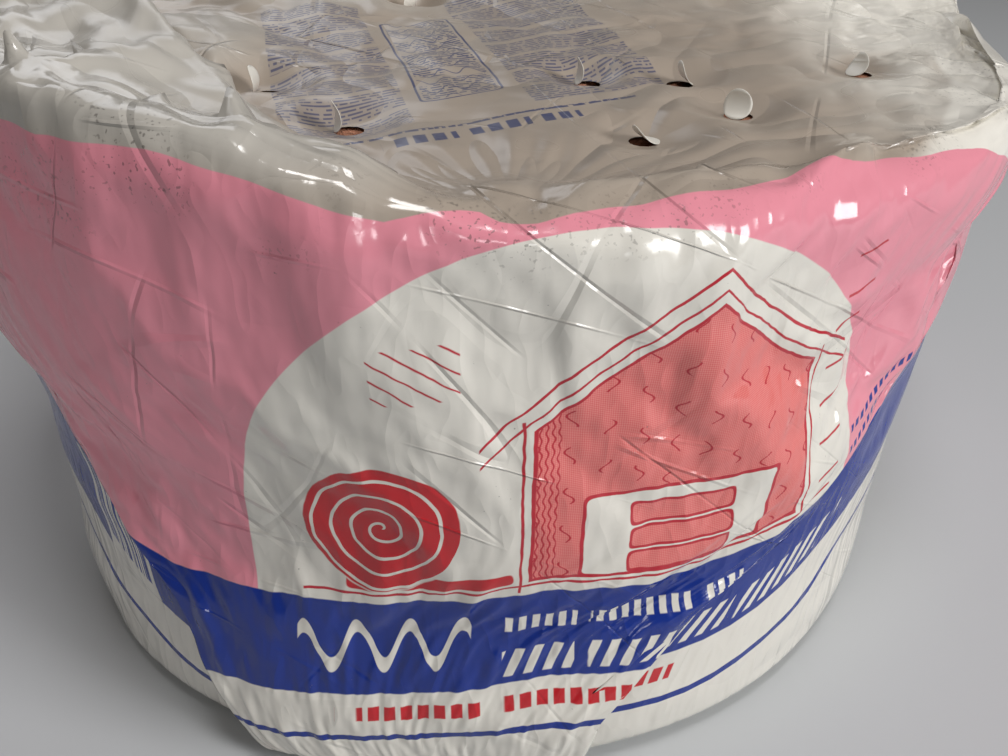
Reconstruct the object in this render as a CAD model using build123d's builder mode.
from build123d import *

import math
import os

# A bagged roll of unfaced glass-wool insulation, standing on its end, in millimetres.
# +Z is up, the origin is the middle of the base, and -Y is the bag's printed front.
# Two pieces: the wound-up blanket, and the plastic bag that holds it pressed. The bag is a
# flat tube of film sealed straight across its top, so a corner stands out at each end of the
# seal, and its spare film stands up in a ridge along the left of the rim.

# The blanket as it lies wound and pressed
ROLL_DIAMETER = 680
ROLL_WIDTH = 381
ROLL_EDGE_ROUND = 18
TURN_THICKNESS = 29
TURN_GROOVE = 7
BORE_DIAMETER = 50

# The bag's film and how loosely it lies round the blanket
FILM = 1.2
SIDE_SLACK = 8.8
TOP_SLACK = 6
REST_GAP = 0.3

# The bag's levels: how far each stands out past the waist at the sides and at the front
BASE_INSET = 22
FOOT_HEIGHT = 12
FOOT_BULGE = 5
WAIST_HEIGHT = 170
SHOULDER_DROP = 117
SHOULDER_FLARE = (23, 7)
RIM_DROP = 20
RIM_FLARE = (40, 12)
CROWN_FLARE = (24, -9)

# The top seal, which runs from corner to corner
SEAL_LENGTH = 930
SEAL_RISE = 34
SEAL_SET_BACK = 235
SEAL_THICKNESS = 4.4
SEAL_STRIP = 24

# The ridge of spare film along the left of the rim: the line along its inner foot, how steeply
# it rises there, and how its crest runs down to the middle of the front
RIDGE_RISE = 58
RIDGE_SIDE_RISE = 50
RIDGE_FOOT = (-190, -125)
RIDGE_FOOT_ANGLE = -49
RIDGE_STEEPNESS = 66
RIDGE_END = 44
RIDGE_CREST_SLOPE = 14

# The vents punched in the top, each at its own place because the film lies in folds
VENT_DIAMETER = 19
VENT_PLACES = [(-290, 90), (-133, -110), (-64, -192), (-60, 150), (86, -80),
               (114, -208), (152, -79), (179, -156), (272, 170), (284, -50)]

roll_radius = ROLL_DIAMETER / 2
roll_base = FILM + REST_GAP
roll_top = roll_base + ROLL_WIDTH
waist_radius = roll_radius + SIDE_SLACK + FILM
crown_height = roll_top + TOP_SLACK + FILM
seal_height = crown_height + SEAL_RISE
rim_height = crown_height - RIM_DROP
shoulder_height = crown_height - SHOULDER_DROP


def flared(height, flare, inset):
    """One level of the bag: an oval that stands out past the waist, drawn in by a wall."""
    with BuildSketch(Plane.XY.offset(height)) as level:
        Ellipse(waist_radius + flare[0] - inset, waist_radius + flare[1] - inset)
    return level.sketch


def bag_body(inset):
    """The bag's closed form, drawn in by a wall: round at the base, drawn flat at the seal."""
    corner_inset = inset * (1 + (SEAL_LENGTH / 2 - waist_radius) / SEAL_RISE)
    crown_sides = (CROWN_FLARE[0] + inset - corner_inset, CROWN_FLARE[1])
    with BuildPart() as body:
        with BuildSketch(Plane.XY.offset(inset)):
            Circle(waist_radius - BASE_INSET - inset)
        with BuildSketch(Plane.XY.offset(FOOT_HEIGHT)):
            Circle(waist_radius + FOOT_BULGE - inset)
        with BuildSketch(Plane.XY.offset(3 * FOOT_HEIGHT)):
            Circle(waist_radius + 1.5 * FOOT_BULGE - inset)
        with BuildSketch(Plane.XY.offset(WAIST_HEIGHT)):
            Circle(waist_radius - inset)
        add(flared(shoulder_height, SHOULDER_FLARE, inset))
        add(flared(rim_height, RIM_FLARE, inset))
        add(flared(crown_height - inset, crown_sides, inset))
        loft(ruled=True)
        add(flared(crown_height - inset, crown_sides, inset))
        with BuildSketch(Plane((0, SEAL_SET_BACK, seal_height - inset))):
            Ellipse(SEAL_LENGTH / 2 - corner_inset, SEAL_THICKNESS / 2 - inset)
        loft(ruled=True)
    return body.part


def bag_ridge(inset):
    """The rim drawn higher, then cut back to what stands up along the left of the front."""
    turn = math.radians(RIDGE_FOOT_ANGLE)
    lean = math.radians(RIDGE_STEEPNESS)
    across = (-math.sin(turn), math.cos(turn))
    foot_normal = (across[0] * math.sin(lean), across[1] * math.sin(lean), math.cos(lean))
    foot_origin = (RIDGE_FOOT[0], RIDGE_FOOT[1], crown_height)
    foot_face = Plane(foot_origin, z_dir=foot_normal).offset(-inset)
    fall = math.radians(RIDGE_CREST_SLOPE)
    crest_normal = (math.sin(fall), 0, math.cos(fall))
    crest_face = Plane((RIDGE_END, 0, crown_height), z_dir=crest_normal).offset(-inset)
    with BuildPart() as ridge:
        add(flared(rim_height, RIM_FLARE, inset))
        add(flared(rim_height + RIDGE_SIDE_RISE, RIM_FLARE, inset))
        add(flared(crown_height + RIDGE_RISE - inset, CROWN_FLARE, inset))
        loft(ruled=True)
        split(bisect_by=foot_face, keep=Keep.BOTTOM)
        split(bisect_by=crest_face, keep=Keep.BOTTOM)
    return ridge.part


# The blanket: one turned form, with a groove between its turns at both ends
with BuildPart() as insulation_roll:
    with BuildSketch(Plane.XZ):
        with Locations(((BORE_DIAMETER / 2 + roll_radius) / 2, roll_base + ROLL_WIDTH / 2)):
            Rectangle(roll_radius - BORE_DIAMETER / 2, ROLL_WIDTH)
    revolve(axis=Axis.Z)
    rims = insulation_roll.edges().filter_by(GeomType.CIRCLE).group_by(SortBy.RADIUS)[-1]
    fillet(rims, ROLL_EDGE_ROUND)
    turn_count = int((roll_radius - ROLL_EDGE_ROUND - BORE_DIAMETER / 2) / TURN_THICKNESS)
    with BuildSketch(Plane.XZ):
        for turn in range(1, turn_count + 1):
            joint_radius = BORE_DIAMETER / 2 + turn * TURN_THICKNESS
            with Locations((joint_radius, roll_base), (joint_radius, roll_top)):
                RegularPolygon(TURN_GROOVE, 4)
    revolve(axis=Axis.Z, mode=Mode.SUBTRACT)

# The bag: the closed form less the same form a wall smaller, its seal strip and its vents
body_inside = bag_body(FILM)
body_outside = bag_body(0)
ridge_inside = bag_ridge(FILM)
ridge_outside = bag_ridge(0)
with BuildPart() as bag:
    add(body_outside)
    add(ridge_outside)
    with BuildSketch(Plane((0, SEAL_SET_BACK, seal_height))):
        Rectangle(SEAL_LENGTH, SEAL_THICKNESS)
    extrude(amount=SEAL_STRIP)
    add(body_inside, mode=Mode.SUBTRACT)
    add(ridge_inside, mode=Mode.SUBTRACT)
    with BuildSketch(Plane.XY.offset(roll_top)):
        with Locations(*VENT_PLACES):
            Circle(VENT_DIAMETER / 2)
    extrude(amount=SEAL_RISE + SEAL_STRIP, mode=Mode.SUBTRACT)

os.makedirs("parts", exist_ok=True)
insulation_roll.part.label = "insulation_roll"
export_step(insulation_roll.part, "parts/insulation_roll.step")
bag.part.label = "bag"
export_step(bag.part, "parts/bag.step")
